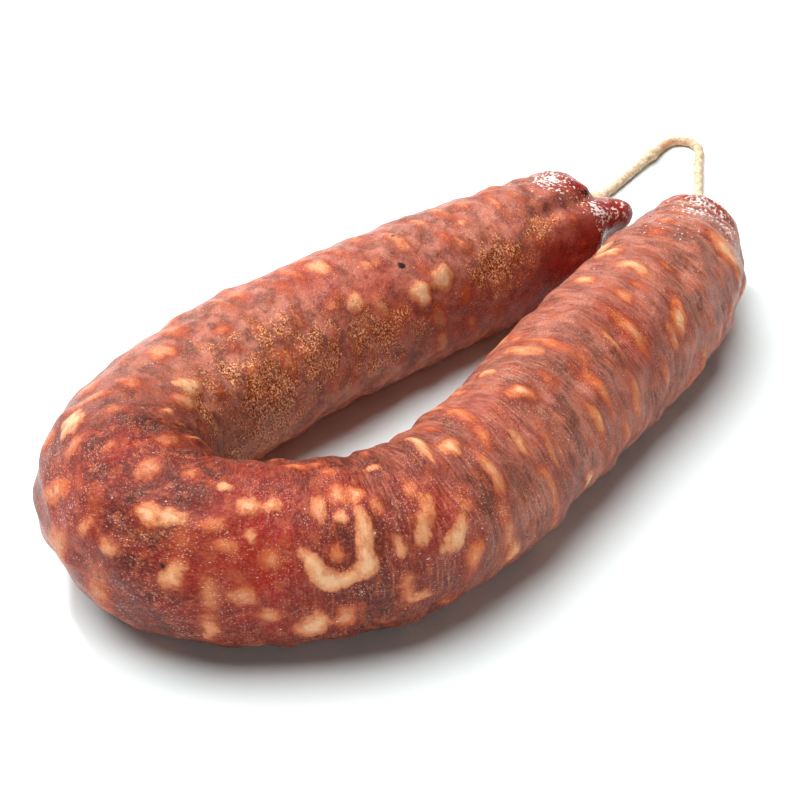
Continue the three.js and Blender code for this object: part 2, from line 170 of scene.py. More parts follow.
# Pieces of fat that show under the skin: distance along it from the far end, turn round it in
# degrees (0 outside the horseshoe, 90 on top, 180 inside it), size along it, size round it, lean in
# degrees, how clear it shows (1 lies against the skin) and how orange it is
FAT_PIECES = [
    (47.0, 139, 6.6, 5.6, 20, 0.95, 0.3),
    (54.2, 143, 5.4, 5.8, 15, 0.95, 0.3),
    (51.0, 93, 2.4, 8.6, 0, 0.6, 0.5),
    (63.0, 105, 3.4, 3.0, 0, 0.4, 0.4),
    (33.0, 102, 2.6, 2.0, 0, 0.9, 0.2),
    (33.5, 74, 2.6, 8.4, 0, 0.6, 0.5),
    (25.0, 142, 1.3, 2.6, 0, 0.8, 0.2),
    (20.6, 95, 1.6, 7.0, 0, 0.4, 0.4),
    (40.5, 185, 2.4, 4.6, 0, 0.3, 0.9),
    (30.5, 196, 2.6, 6.0, 0, 0.2, 0.9),
    (41.5, 160, 2.2, 4.2, -20, 0.3, 0.8),
    (14.0, 92, 2.0, 4.4, 10, 0.3, 0.5),
    (73.0, 89, 5.2, 6.0, 0, 0.7, 0.5),
    (71.9, 129, 5.0, 4.0, 30, 0.9, 0.3),
    (73.5, 67, 3.4, 5.0, 0, 0.6, 0.5),
    (78.8, 77, 2.4, 9.0, 0, 0.4, 0.8),
    (77.5, 124, 3.2, 2.0, 0, 0.3, 0.7),
    (95.6, 144, 3.4, 4.8, 0, 0.6, 1.0),
    (106.0, 144, 3.8, 5.6, -8, 0.6, 0.9),
    (103.8, 99, 3.4, 2.2, 0, 0.5, 0.8),
    (118.8, 86, 6.0, 6.0, -20, 0.55, 0.8),
    (123.5, 122, 7.6, 5.0, -24, 0.95, 0.1),
    (129.5, 128, 9.0, 4.4, -24, 0.5, 0.6),
    (142.5, 120, 6.0, 1.8, -20, 0.6, 0.0),
    (97.5, 71, 1.6, 8.0, 0, 0.6, 0.4),
    (92.5, 70, 3.8, 7.0, 0, 0.3, 0.9),
    (110.6, 67, 3.4, 8.0, 0, 0.4, 0.8),
    (85.5, 66, 2.6, 6.0, 0, 0.3, 0.8),
    (143.0, 57, 5.4, 6.2, 10, 0.85, 0.2),
    (137.5, 66, 2.0, 9.0, 10, 0.6, 0.6),
    (132.0, 55, 4.0, 6.5, 0, 0.5, 0.7),
    (148.9, 57, 2.2, 5.4, 10, 0.6, 0.6),
    (141.9, 31, 3.0, 5.0, 0, 0.5, 0.7),
    (151.9, 31, 3.0, 8.2, -18, 0.85, 0.9),
    (155.6, 3, 4.4, 9.4, 0, 0.5, 0.8),
    (160.2, 31, 1.4, 4.2, -12, 0.8, 0.4),
    (164.4, 28, 2.2, 3.2, 20, 0.7, 0.2),
    (163.0, -9, 3.0, 11.0, 0, 0.4, 0.8),
    (168.0, 55, 3.6, 4.4, 0, 0.95, 0.6),
    (171.2, 57, 4.0, 3.6, 24, 0.95, 0.1),
    (173.0, 23, 2.4, 5.2, -12, 0.9, 0.2),
    (177.5, 13, 2.0, 8.0, 0, 0.4, 0.6),
    (178.0, 83, 2.4, 2.2, 0, 0.8, 0.0),
    (182.5, 70, 3.6, 4.0, 0, 0.8, 0.4),
    (186.5, 71, 3.2, 2.8, 20, 0.8, 0.5),
    (183.2, 50, 1.5, 2.2, 0, 0.8, 0.3),
    (177.2, 57, 3.4, 2.6, 30, 0.5, 0.8),
    (179.4, 44, 3.8, 2.4, -20, 0.5, 0.8),
    (186.3, 37, 3.4, 3.8, 0, 0.4, 1.0),
    (182.0, 13, 4.2, 4.4, 20, 0.4, 0.6),
    (186.0, -2, 3.4, 3.4, 0, 0.4, 0.6),
    (195.0, 66, 2.8, 5.6, 0, 0.9, 0.5),
    (198.8, 75, 3.6, 4.4, 0, 0.5, 0.9),
    (202.2, 74, 3.2, 3.6, 0, 0.7, 0.9),
    (198.7, 60, 2.2, 2.6, 0, 0.7, 0.3),
    (205.6, 64, 1.8, 3.2, 0, 0.4, 0.7),
    (212.4, 68, 2.2, 5.4, 0, 0.5, 0.7),
    (213.6, 54, 2.2, 5.2, -8, 0.6, 0.6),
    (216.3, 30, 3.6, 6.4, -38, 0.95, 0.1),
    (218.6, 11, 2.6, 6.0, -12, 0.5, 0.8),
    (207.6, 35, 1.8, 4.0, 0, 0.6, 0.2),
    (211.4, 41, 1.9, 5.6, -8, 0.85, 0.2),
    (208.0, 6, 1.8, 6.6, 0, 0.5, 0.5),
    (210.0, -3, 2.6, 2.4, 0, 0.6, 0.4),
    (220.6, 97, 3.0, 8.8, -14, 0.9, 0.2),
    (225.0, 83, 4.0, 4.2, -20, 0.6, 0.6),
    (193.0, -14, 5.0, 8.4, -10, 0.7, 0.5),
    (198.2, -9, 3.4, 6.0, 0, 0.4, 0.8),
    (177.4, -12, 2.0, 8.0, 0, 0.6, 0.4),
    (191.9, 108, 4.4, 2.4, 0, 0.6, 0.9),
    (196.0, 110, 3.0, 2.2, 0, 0.5, 0.8),
    (207.4, 94, 3.2, 1.4, 12, 0.8, 0.2),
    (228.0, -9, 2.6, 6.4, 0, 0.8, 0.3),
    (226.2, 12, 2.0, 8.4, 0, 0.3, 0.5),
    (235.0, 101, 2.4, 8.0, -10, 0.5, 0.8),
    (239.0, 57, 2.3, 6.4, -8, 0.85, 0.2),
    (228.0, 52, 2.2, 9.0, 0, 0.5, 0.6),
    (233.0, 78, 2.0, 5.0, -20, 0.4, 0.8),
    (249.0, 82, 6.4, 3.8, -42, 0.6, 0.8),
    (243.8, 39, 0.9, 5.0, -6, 0.7, 0.5),
    (246.0, 36, 0.9, 4.6, -6, 0.6, 0.5),
    (252.0, 114, 3.6, 4.0, 0, 0.9, 0.2),
    (262.4, 105, 2.4, 8.6, 0, 0.7, 0.2),
    (266.5, 94, 2.4, 11.0, 0, 0.4, 0.8),
    (293.0, 112, 3.0, 5.0, 0, 0.7, 0.4),
    (302.8, 90, 2.6, 9.0, -8, 0.85, 0.2),
    (308.0, 120, 5.4, 6.2, 0, 0.7, 0.3),
    (264.4, 41, 2.4, 12.0, 0, 0.4, 1.0),
    (258.8, 31, 1.8, 8.0, 0, 0.5, 0.6),
    (274.4, 19, 2.2, 9.0, -6, 0.5, 0.7),
    (284.4, 55, 3.2, 12.0, 0, 0.3, 1.0),
    (299.0, 39, 4.0, 8.0, -28, 0.6, 0.9),
    (294.8, 31, 2.0, 6.0, 0, 0.5, 0.6),
    (288.0, 8, 2.2, 6.2, 0, 0.5, 0.6),
    (268.0, 7, 2.2, 8.0, 0, 0.4, 0.7),
    (252.8, -5, 4.0, 4.2, 0, 0.6, 0.4),
    (240.0, 11, 1.6, 9.0, 0, 0.5, 0.6),
    (291.9, 79, 2.4, 5.0, 0, 0.4, 0.7),
    (277.0, 59, 1.6, 7.0, 0, 0.4, 0.5),
    (306.0, -5, 1.6, 7.0, 0, 0.5, 0.6),
    (326.8, 44, 3.8, 13.0, -8, 0.8, 0.7),
    (314.0, 135, 4.2, 5.0, 0, 0.8, 0.2),
]
# The long hooked piece at the bend: distance along, turn and half width of points of its middle
HOOKED_PIECE = [
    (202.0, 62, 0.8),
    (202.3, 50, 1.5),
    (201.7, 38, 1.3),
    (201.8, 28, 1.8),
    (199.0, 22, 1.3),
    (196.4, 20, 2.1),
    (194.0, 24, 1.6),
    (193.6, 31, 1.5),
    (191.4, 40, 0.8),
]
FAT_MARGIN = 4.5 # how far outside a piece its depth is still worked out
FAT_BLEND = 0.5 # how softly the looks of neighbouring pieces run together
FAT_SQUARENESS = 2.4 # 2 makes an oval piece
EDGE_SWAY = 0.10 # how uneven a piece's edge is, in three and in five waves round it
EDGE_RIPPLE = 0.07
SCATTERED_PIECES = 620
SCATTER_SEED = 11
SCATTER_BEYOND = (16, 12) # how far past the far and the near end they go
SCATTER_SMALLEST = 1.3
SCATTER_SPREAD = 3.2
SCATTER_FAVOURS_SMALL = 1.7
SCATTER_GAP = 0.3
DRAWN_FROM = 0.55 # the share of the length after which pieces are pulled longer round the leg
HIDDEN_TURNS = (205, 325) # the underside, where no piece is listed
HIDDEN_CLEAR_SHARE = 0.35
HIDDEN_LARGER = 1.2
MM_PER_DEGREE = 0.31 # round the skin
AREA_REACH = 2.6 # how far out an area is worked out, in its own reaches
AREA_SIDE = 1.4 # an area stays on its side of the leg, within so many radii
BLACK_SPECKS = [ # distance along, turn and radius
    (-7.5, 112, 0.7),
    (-6.4, 109, 0.5),
    (55.0, 117, 0.8),
    (51.2, 90, 0.35),
    (170.7, 51, 0.3),
    (171.6, 28, 0.35),
    (163.4, 4, 0.35),
    (206.2, 66, 0.3),
    (160.5, 38, 0.25),
]
# Soft-edged areas of the skin: distance along, turn, reach along it, reach round it, strength
GOLDEN_AREAS = [
    (70, 163, 13, 9, 0.8),
    (88, 150, 12, 10, 0.7),
    (104, 168, 12, 15, 1.0),
    (112, 138, 14, 12, 0.55),
    (95, 125, 14, 9, 0.5),
    (123, 150, 12, 9, 0.7),
    (57, 166, 8, 7, 0.5),
    (30, 150, 11, 8, 0.9),
    (14, 128, 9, 5, 0.7),
    (-5, 112, 5, 3, 1.0),
    (82, 178, 10, 6, 0.4),
    (152, 78, 10, 9, 0.2),
    (168, 41, 10, 7, 0.32),
    (143, 128, 10, 6, 0.3),
    (245, 38, 6, 6, 0.35),
    (118, 195, 12, 12, 0.7),
]
# white flecks at the ends: partly salt bloom on the skin, partly painted highlights of its glossy crinkled
# skin
BLOOM_AND_HIGHLIGHT_AREAS = [
    (0, 84, 6, 8, 1.0),
    (-3, 99, 3, 4, 0.7),
    (-6, 134, 4, 6, 1.0),
    (-11, 146, 6, 5, 0.7),
    (-6, 148, 6, 5, 0.6),
    (351, 78, 7, 8, 1.0),
    (340, 84, 8, 9, 0.85),
    (342, 52, 9, 8, 0.7),
    (325, 88, 9, 9, 0.35),
]
GLOSS_AREAS = [
    (-5, 104, 5, 5, 1.0),
    (1, 92, 6, 7, 0.5),
    (-8, 140, 7, 8, 1.0),
    (-11, 158, 8, 8, 1.0),
    (-2, 158, 9, 7, 0.9),
    (10, 172, 8, 9, 0.6),
    (352, 75, 7, 10, 0.6),
]
RED_AREAS = [
    (184, 42, 9, 16, 1.0),
    (199, 76, 6, 5, 0.7),
    (177, 20, 8, 9, 0.6),
    (10, 175, 12, 9, 0.9),
    (20, 195, 14, 12, 0.7),
    (64, 125, 9, 6, 0.5),
    (76, 84, 9, 12, 0.5),
    (157, 82, 7, 7, 0.4),
    (215, 48, 6, 10, 0.6),
    (284, 52, 7, 9, 0.6),
    (240, 84, 7, 9, 0.4),
    (42, 178, 9, 8, 0.6),
    (60, 150, 7, 6, 0.5),
    (156, 20, 8, 12, 0.5),
]

# Fineness of the meshes
CASING_SIDES = 168
RING_STEP = 0.7
DOME_RINGS = 34
SPLINE_STEPS = 200
TWINE_SIDES = 30
TWINE_STEP = 0.4
ROUTE_STEPS = 24
STROKE_STEPS = 8
TIE_POINTS = 90
KNOT_POINTS = 80
MERGE_DISTANCE = 1e-4
CORNERS_THAT_TELL = 3  # no two faces share more than two corners
SEAM_TOLERANCE = 1e-6
SHORTEST = 1e-12


# Geometry in numbers


def unit(vectors):
    vectors = np.asarray(vectors, float)
    return vectors / np.maximum(np.linalg.norm(vectors, axis=-1, keepdims=True), SHORTEST)


def bell(distance, width):
    return np.exp(-((distance / width) ** 2))


def smooth_step(value):
    t = np.clip(value, 0.0, 1.0)
    return t * t * (3 - 2 * t)


def spline(points, steps):
    """The uniform Catmull-Rom curve through the points, carried on straight past both ends."""
    points = np.asarray(points, float)
    line = np.vstack([2 * points[0] - points[1], points, 2 * points[-1] - points[-2]])
    t = np.linspace(0, 1, steps, endpoint=False)[:, None]
    spans = []
    for before, start, stop, after in zip(line, line[1:], line[2:], line[3:]):
        bow = 2 * before - 5 * start + 4 * stop - after
        twist = 3 * start - before - 3 * stop + after
        spans.append(start + ((stop - before) * t + bow * t**2 + twist * t**3) / 2)
    return np.vstack([*spans, points[-1:]])


def lengths(line):
    steps = np.linalg.norm(np.diff(line, axis=0), axis=1)
    return np.concatenate([[0.0], np.cumsum(steps)])


MIDDLE = spline([(x, y, radius - REST_FLAT, radius) for x, y, radius in STATIONS], SPLINE_STEPS)
ARC = lengths(MIDDLE[:, :3])
LENGTH = ARC[-1]
FORWARD = unit(np.gradient(MIDDLE[:, :3], ARC, axis=0))
FAR_RADIUS = STATIONS[0][2]
NEAR_RADIUS = STATIONS[-1][2]


def read_along(along, columns):
    along = np.clip(along, 0, LENGTH)
    return np.stack([np.interp(along, ARC, column) for column in columns.T], axis=-1)


def frame_at(along):
    """The middle line's point, its direction, the level direction across it and the one that rises."""
    centre = read_along(along, MIDDLE[:, :3])
    forward = unit(read_along(along, FORWARD))
    side = unit(np.cross(forward, (0, 0, 1)))
    return centre, forward, side, np.cross(side, forward)


def radius_at(along):
    return read_along(along, MIDDLE[:, 3:])[..., 0]


def turned(vectors, axis, angles):
    """The vectors turned about an axis, each by its own angle."""
    cosine = np.cos(angles)[:, None]
    sine = np.sin(angles)[:, None]
    along_axis = (vectors @ axis)[:, None] * axis
    return vectors * cosine + np.cross(axis, vectors) * sine + along_axis * (1 - cosine)


def skin_point(along, turn):
    """The straight place of a point of the skin, from its distance along it and its turn round it."""
    along = np.asarray(along, float)
    radius = radius_at(along)
    beyond = np.where(along < 0, along, np.maximum(along - LENGTH, 0))
    polar = np.pi / 2 - np.abs(beyond) / radius
    across = radius * np.sin(polar)
    lengthwise = np.clip(along, 0, LENGTH) + np.sign(beyond) * radius * np.cos(polar)
    return np.stack([across * np.cos(turn), lengthwise, across * np.sin(turn)], axis=-1)


# Noise and patterns laid out on the straight casing


def lattice_value(corner, seed):
    """A number from 0 to 1 for each whole-numbered place, the same every time."""
    x, y, z = (corner[:, i].astype(np.int64).astype(np.uint64) for i in range(3))
    mixed = x * np.uint64(73856093) ^ y * np.uint64(19349663) ^ z * np.uint64(83492791)
    mixed ^= np.uint64(seed * 2654435761)
    mixed = (mixed ^ (mixed >> np.uint64(13))) * np.uint64(1274126177)
    mixed ^= mixed >> np.uint64(16)
    return (mixed & np.uint64(0xFFFF)).astype(float) / 0xFFFF


def lattice_noise(places, seed):
    """Smooth noise from -1 to 1 with features about one unit wide."""
    corner = np.floor(places)
    share = smooth_step(places - corner)
    total = np.zeros(len(places))
    for step in np.ndindex(2, 2, 2):
        weight = np.prod(np.where(np.array(step) == 1, share, 1 - share), axis=1)
        total += weight * lattice_value(corner + np.array(step), seed)
    return 2 * total - 1


def skin_directions(along, turn):
    """A place of the skin with the two directions in it: along it and round it."""
    place = skin_point(along, turn)
    towards_round = np.array([-np.sin(turn), 0.0, np.cos(turn)])
    ball = np.array([0.0, np.clip(along, 0, LENGTH), 0.0])
    outward = unit(place - ball)
    return place, np.cross(towards_round, outward), towards_round


class FatField:
    """How deep each point of the skin lies in a piece of fat, and how that piece shows there."""

    def __init__(self, straight):
        self.straight = straight
        self.depth = np.full(len(straight), -4.0)
        self.weight = np.full(len(straight), 1e-6)
        self.clear = np.zeros(len(straight))
        self.warm = np.zeros(len(straight))

    def near(self, place, reach):
        apart = self.straight - place
        found = np.flatnonzero(np.abs(apart[:, 1]) < reach)
        return found[np.linalg.norm(apart[found], axis=1) < reach]

    def put(self, found, depth, clear, warm):
        weight = np.exp(np.clip(depth, -4, 4) / FAT_BLEND)
        self.depth[found] = np.maximum(self.depth[found], depth)
        self.weight[found] += weight
        self.clear[found] += weight * clear
        self.warm[found] += weight * warm

    def add_piece(self, along, turn, size_along, size_round, lean, clear, warm, angles=0.0):
        place, forward, sideways = skin_directions(along, np.radians(turn))
        found = self.near(place, max(size_along, size_round) / 2 + FAT_MARGIN)
        apart = self.straight[found] - place
        lean = np.radians(lean)
        p = apart @ forward
        q = apart @ sideways
        across = (p * np.cos(lean) + q * np.sin(lean)) / (size_along / 2)
        upward = (q * np.cos(lean) - p * np.sin(lean)) / (size_round / 2)
        bearing = np.arctan2(upward, across)
        sway = EDGE_SWAY * np.sin(3 * bearing + angles + along)
        ripple = EDGE_RIPPLE * np.sin(5 * bearing + 2 * angles + turn)
        edge = 1 + sway + ripple
        power = FAT_SQUARENESS
        far = (np.abs(across) ** power + np.abs(upward) ** power) ** (1 / power)
        depth = (edge - far) * min(size_along, size_round) / 2
        self.put(found, depth, clear, warm)

    def add_stroke(self, points, clear, warm):
        """A long piece whose half width changes from point to point."""
        points = spline(points, STROKE_STEPS)
        for along, turn, half_width in points:
            place, _, _ = skin_directions(along, np.radians(turn))
            found = self.near(place, half_width + FAT_MARGIN)
            depth = half_width - np.linalg.norm(self.straight[found] - place, axis=1)
            self.put(found, depth, clear, warm)

    def finish(self):
        self.clear = self.clear / self.weight
        self.warm = self.warm / self.weight


def scattered_pieces():
    """More pieces between the listed ones, most of them deeper in the meat."""
    random = np.random.default_rng(SCATTER_SEED)
    placed = [(along, turn, max(first, second)) for along, turn, first, second, *_ in FAT_PIECES]
    placed += [(along, turn, 4.0) for along, turn, _ in HOOKED_PIECE]
    found = []
    for _ in range(SCATTERED_PIECES):
        along = random.uniform(-SCATTER_BEYOND[0], LENGTH + SCATTER_BEYOND[1])
        turn = random.uniform(-180, 180)
        size = SCATTER_SMALLEST + SCATTER_SPREAD * random.uniform() ** SCATTER_FAVOURS_SMALL
        stretch = random.uniform(1.1, 2.6 if along > DRAWN_FROM * LENGTH else 1.9)
        lean = random.normal(0, 16)
        clear = random.uniform(0.0, 0.55)
        warm = random.uniform(0.3, 1.0)
        hidden = HIDDEN_TURNS[0] < turn % 360 < HIDDEN_TURNS[1]
        if hidden and random.uniform() < HIDDEN_CLEAR_SHARE:
            clear = random.uniform(0.6, 0.95)
            size *= HIDDEN_LARGER
            warm = random.uniform(0.1, 0.7)
        apart = []
        for other_along, other_turn, other_size in placed:
            degrees = (turn - other_turn + 180) % 360 - 180
            apart.append(np.hypot(along - other_along, degrees * MM_PER_DEGREE) - other_size / 2)
        if min(apart) < size * stretch * 0.5 + SCATTER_GAP:
            continue
        placed.append((along, turn, size * stretch))
        found.append((along, turn, size, size * stretch, lean, clear, warm, random.uniform(0, 6.28)))
    return found


def fat_field(straight):
    field = FatField(straight)
    for piece in scattered_pieces():
        field.add_piece(*piece)
    for piece in FAT_PIECES:
        field.add_piece(*piece)
    field.add_stroke(HOOKED_PIECE, 0.95, 0.25)
    field.finish()
    return field


def soft_areas(straight, areas):
    total = np.zeros(len(straight))
    for along, turn, reach_along, reach_round, strength in areas:
        place, forward, sideways = skin_directions(along, np.radians(turn))
        apart = straight - place
        here = np.linalg.norm(apart, axis=1) < AREA_REACH * max(reach_along, reach_round)
        lengthwise = apart[here] @ forward
        around = apart[here] @ sideways
        share = strength * bell(lengthwise, reach_along) * bell(around, reach_round)
        beside = np.linalg.norm(apart[here] - lengthwise[:, None] * forward, axis=1)
        facing = beside < AREA_SIDE * FAR_RADIUS
        total[here] = np.maximum(total[here], share * facing)
    return total


def speck_field(straight):
    depth = np.full(len(straight), -2.0)
    for along, turn, radius in BLACK_SPECKS:
        place, _, _ = skin_directions(along, np.radians(turn))
        depth = np.maximum(depth, radius - np.linalg.norm(straight - place, axis=1))
    return depth


# Relief of the casing


def wave_relief(along, turn):
    slow = np.sin(along / SLOW_WAVE + SLOW_WINDING * np.sin(turn))
    quick = np.sin(along / QUICK_WAVE + 2 * turn + QUICK_START)
    round_wave = np.sin(3 * turn + along / ROUND_WAVE)
    return WAVE_HEIGHT * (slow + QUICK_SHARE * quick + round_wave) / 2


def roll_relief(along, turn):
    share = smooth_step((along / LENGTH - ROLLS_FROM) / ROLLS_FADE)
    lean = ROLL_LEAN * np.sin(2 * turn + along / ROLL_LEAN_LENGTH)
    wander = lean + ROLL_DRIFT * np.sin(along / ROLL_DRIFT_LENGTH)
    swing = 1 - ROLL_SWING + ROLL_SWING * np.sin(along / ROLL_SWING_LENGTH + 2 * turn)
    return ROLL_HEIGHT * share * swing * np.sin(2 * np.pi * along / ROLL_PITCH + wander)


def crease_relief(turn, radius, along):
    """The crease that runs back from the far tie between the end's two lobes."""
    apart = turn - np.radians(CREASE_TURN)
    across = np.arctan2(np.sin(apart), np.cos(apart)) * radius
    return -CREASE_DEPTH * bell(across, CREASE_WIDTH) * smooth_step(1 - along / CREASE_REACH)


def angle_to(direction, heading):
    return np.arccos(np.clip(direction @ unit(heading), -1, 1))


def far_forms(direction):
    """The far end's lobes and hollow, by direction from the centre of that end."""
    return sum(height * bell(angle_to(direction, heading), width) for heading, height, width in FAR_FORMS)


def end_relief(direction, turn, polar, radius, near):
    seam = LENGTH if near else 0.0
    fade = smooth_step(polar / (np.pi / 2))
    plain = (wave_relief(seam, turn) + roll_relief(seam, turn)) * fade
    dent = -DENT_DEPTH * bell(polar, DENT_WIDTH)
    set_in = smooth_step((polar - NECK_ROOT) / PLEAT_START)
    pleat_share = bell(polar - PLEAT_POLAR, PLEAT_WIDTH) * set_in * (1 - fade)
    pleat = -PLEAT_DEPTH * pleat_share * (1 + np.cos(PLEATS * turn + 2 * np.sin(2 * turn)))
    if near:
        return plain + dent + pleat
    lobe = bell(angle_to(direction, LOWER_LOBE), LOBE_SMOOTH_REACH * LOWER_LOBE_WIDTH)
    forms = crease_relief(turn, radius * np.sin(polar), 0.0) + far_forms(direction)
    clear = smooth_step((polar - NECK_ROOT) / FORMS_CLEAR)
    return plain + dent + pleat * (1 - LOBE_SMOOTH * lobe) + forms * clear


# The straight casing bent along its middle line


def bend_tube(straight, relief):
    along = straight[:, 1]
    turn = np.arctan2(straight[:, 2], straight[:, 0])
    plain = np.hypot(straight[:, 0], straight[:, 2])
    centre, _, side, rise = frame_at(along)
    outward = side * np.cos(turn)[:, None] + rise * np.sin(turn)[:, None]
    from_end = unit(centre + outward * plain[:, None] - MIDDLE[0, :3])
    own = wave_relief(along, turn) + roll_relief(along, turn) + crease_relief(turn, plain, along)
    raised = plain + relief + own + far_forms(from_end) * smooth_step(1 - along / FORMS_REACH)
    return centre + outward * raised[:, None]


def bend_end(straight, relief, near):
    radius = NEAR_RADIUS if near else FAR_RADIUS
    neck = unit(NEAR_NECK if near else FAR_NECK)
    beyond = straight[:, 1] - LENGTH if near else -straight[:, 1]
    across = np.hypot(straight[:, 0], straight[:, 2])
    turn = np.arctan2(straight[:, 2], straight[:, 0])
    polar = np.arctan2(across, beyond)
    centre, forward, side, rise = frame_at(LENGTH if near else 0.0)
    axis = forward if near else -forward
    outward = side * np.cos(turn)[:, None] + rise * np.sin(turn)[:, None]
    direction = unit(outward * across[:, None] + axis * beyond[:, None])
    lean_axis = unit(np.cross(axis, neck))
    lean = np.arccos(axis @ neck) * smooth_step(1 - polar / (np.pi / 2))
    direction = turned(direction, lean_axis, lean)
    plain = np.hypot(across, beyond)
    raised = plain + relief + end_relief(direction, turn, polar, radius, near)
    on_neck = polar < NECK_ROOT - NECK_MARGIN
    return centre + direction * np.where(on_neck, plain, raised)[:, None]


def bend(straight, relief):
    bent = bend_tube(straight, relief)
    far = straight[:, 1] < -SEAM_TOLERANCE
    near = straight[:, 1] > LENGTH + SEAM_TOLERANCE
    bent[far] = bend_end(straight[far], relief[far], False)
    bent[near] = bend_end(straight[near], relief[near], True)
    bent[:, 2] = np.maximum(bent[:, 2], 0.0)
    return bent


# Meshes


def read_points(mesh):
    flat = np.empty(len(mesh.vertices) * 3)
    mesh.vertices.foreach_get("co", flat)
    return flat.reshape(-1, 3)


def write_points(mesh, points):
    mesh.vertices.foreach_set("co", np.asarray(points, float).ravel())
    mesh.update()


def keep_values(mesh, name, values):
    """Keeps one number for each vertex, for the materials to read."""
    attribute = mesh.attributes.new(name, "FLOAT", "POINT")
    attribute.data.foreach_set("value", np.asarray(values, float).ravel())


def keep_places(mesh, name, places):
    attribute = mesh.attributes.new(name, "FLOAT_VECTOR", "POINT")
    attribute.data.foreach_set("vector", np.asarray(places, float).ravel())


def sort_by_corners(parts, corner_count):
    """Sorts edges or faces, which bmesh makes in an order that changes from run to run."""

    def place(part):
        number = 0
        for corner in sorted(vertex.index for vertex in part.verts)[:CORNERS_THAT_TELL]:
            number = number * corner_count + corner
        return number

    parts.sort(key=place)


def new_piece(name, mesh_maker, material):
    """A smooth-shaded piece from a bmesh, with outward normals."""
    mesh = bpy.data.meshes.new(name)
    shape = bmesh.new()
    mesh_maker(shape)
    bmesh.ops.recalc_face_normals(shape, faces=shape.faces)
    shape.verts.index_update()
    for parts in (shape.edges, shape.faces):
        sort_by_corners(parts, len(shape.verts))
    shape.to_mesh(mesh)
    shape.free()
    mesh.polygons.foreach_set("use_smooth", [True] * len(mesh.polygons))
    mesh.materials.append(material)
    piece = bpy.data.objects.new(name, mesh)
    bpy.context.scene.collection.objects.link(piece)
    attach(piece, "root")
    return piece


def end_rings(radius):
    tie_at = radius + TIE_REACH
    tip = tie_at + NECK_BEYOND
    rings = [(share * NECK_FLARE, tip - down) for share, down in NECK_TIP]
    rings += [(NECK_RADIUS, tie_at + rise) for rise in (TWINE_RADIUS / 2, 0, -TWINE_RADIUS)]
    for i in range(DOME_RINGS):
        polar = NECK_ROOT + (np.pi / 2 - NECK_ROOT) * i / DOME_RINGS
        rings.append((radius * np.sin(polar), radius * np.cos(polar)))
    return rings


def straight_profile():
    tube_rings = round(LENGTH / RING_STEP)
    profile = [(radius, -beyond) for radius, beyond in end_rings(FAR_RADIUS)]
    for along in np.linspace(0, LENGTH, tube_rings + 1):
        profile.append((float(radius_at(along)), along))
    profile += [(radius, LENGTH + beyond) for radius, beyond in reversed(end_rings(NEAR_RADIUS))]
    return profile


def straight_casing(shape):
    """The profile spun round the Y axis."""
    rings = [shape.verts.new((radius, along, 0)) for radius, along in straight_profile()]
    profile = [shape.edges.new(pair) for pair in zip(rings, rings[1:])]
    bmesh.ops.spin(
        shape,
        geom=rings + profile,
        cent=(0, 0, 0),
        axis=(0, 1, 0),
        dvec=(0, 0, 0),
        angle=2 * np.pi,
        steps=CASING_SIDES,
        use_merge=True,
        use_duplicate=False,
    )
    bmesh.ops.remove_doubles(shape, verts=shape.verts, dist=MERGE_DISTANCE)


def strand_reach(angle):
    """How far a twine of round strands reaches at an angle, as a share of its radius."""
    reach = np.zeros_like(angle)
    for i in range(STRANDS):
        apart = angle - 2 * np.pi * i / STRANDS
        inside = np.maximum(STRAND_RADIUS**2 - (STRAND_OFFSET * np.sin(apart)) ** 2, 0)
        reach = np.maximum(reach, STRAND_OFFSET * np.cos(apart) + np.sqrt(inside))
    return reach


def along_line(line, step):
    """The line's points at even steps, with their distances."""
    arc = lengths(line)
    at = np.linspace(0, arc[-1], max(3, round(arc[-1] / step)) + 1)
    return np.stack([np.interp(at, arc, column) for column in line.T], axis=-1), at


def carried_frames(line):
    """Two directions across the line at each point, carried along it without twisting."""
    forward = unit(np.gradient(line, axis=0))
    across = np.empty_like(line)
    start = (0, 0, 1) if abs(forward[0][2]) < 0.9 else (1, 0, 0)
    across[0] = unit(np.cross(forward[0], start))
    for i in range(1, len(line)):
        level = across[i - 1] - forward[i] * (across[i - 1] @ forward[i])
        across[i] = unit(level)
    return across, np.cross(forward, across)


def twisted_twine(line, radius, slub_at=None):
    """A maker of twisted twine along a line, thicker at its slub and closed at both ends."""
    line, at = along_line(line, TWINE_STEP)
    across, upright = carried_frames(line)
    angle = 2 * np.pi * np.arange(TWINE_SIDES) / TWINE_SIDES
    rings = []
    for centre, distance, side, rise in zip(line, at, across, upright):
        strands = strand_reach(angle - 2 * np.pi * distance / STRAND_PITCH)
        reach = radius * (STRANDS_SHOW * strands + 1 - STRANDS_SHOW)
        rounding = min(1.0, END_SHARE + END_GROWTH * min(distance, at[-1] - distance))
        swell = 1.0 if slub_at is None else 1 + SLUB_SWELL * bell(distance - slub_at, SLUB_REACH)
        reach = reach * rounding * swell
        ring = centre + reach[:, None] * (np.cos(angle)[:, None] * side + np.sin(angle)[:, None] * rise)
        rings.append(ring)

    def make(shape):
        ring = bmesh.ops.create_circle(shape, cap_ends=True, segments=TWINE_SIDES, radius=radius)["verts"]
        edges = list(dict.fromkeys(edge for vertex in ring for edge in vertex.link_edges))
        for vertex, place in zip(ring, rings[0]):
            vertex.co = place
        for places in rings[1:]:
            grown = bmesh.ops.extrude_edge_only(shape, edges=edges)["geom"]
            edges = [item for item in grown if isinstance(item, bmesh.types.BMEdge) and item.is_boundary]
            ring = [item for item in grown if isinstance(item, bmesh.types.BMVert)]
            for vertex, place in zip(ring, places):
                vertex.co = place
        bmesh.ops.contextual_create(shape, geom=edges)

    return make


# Shader maths


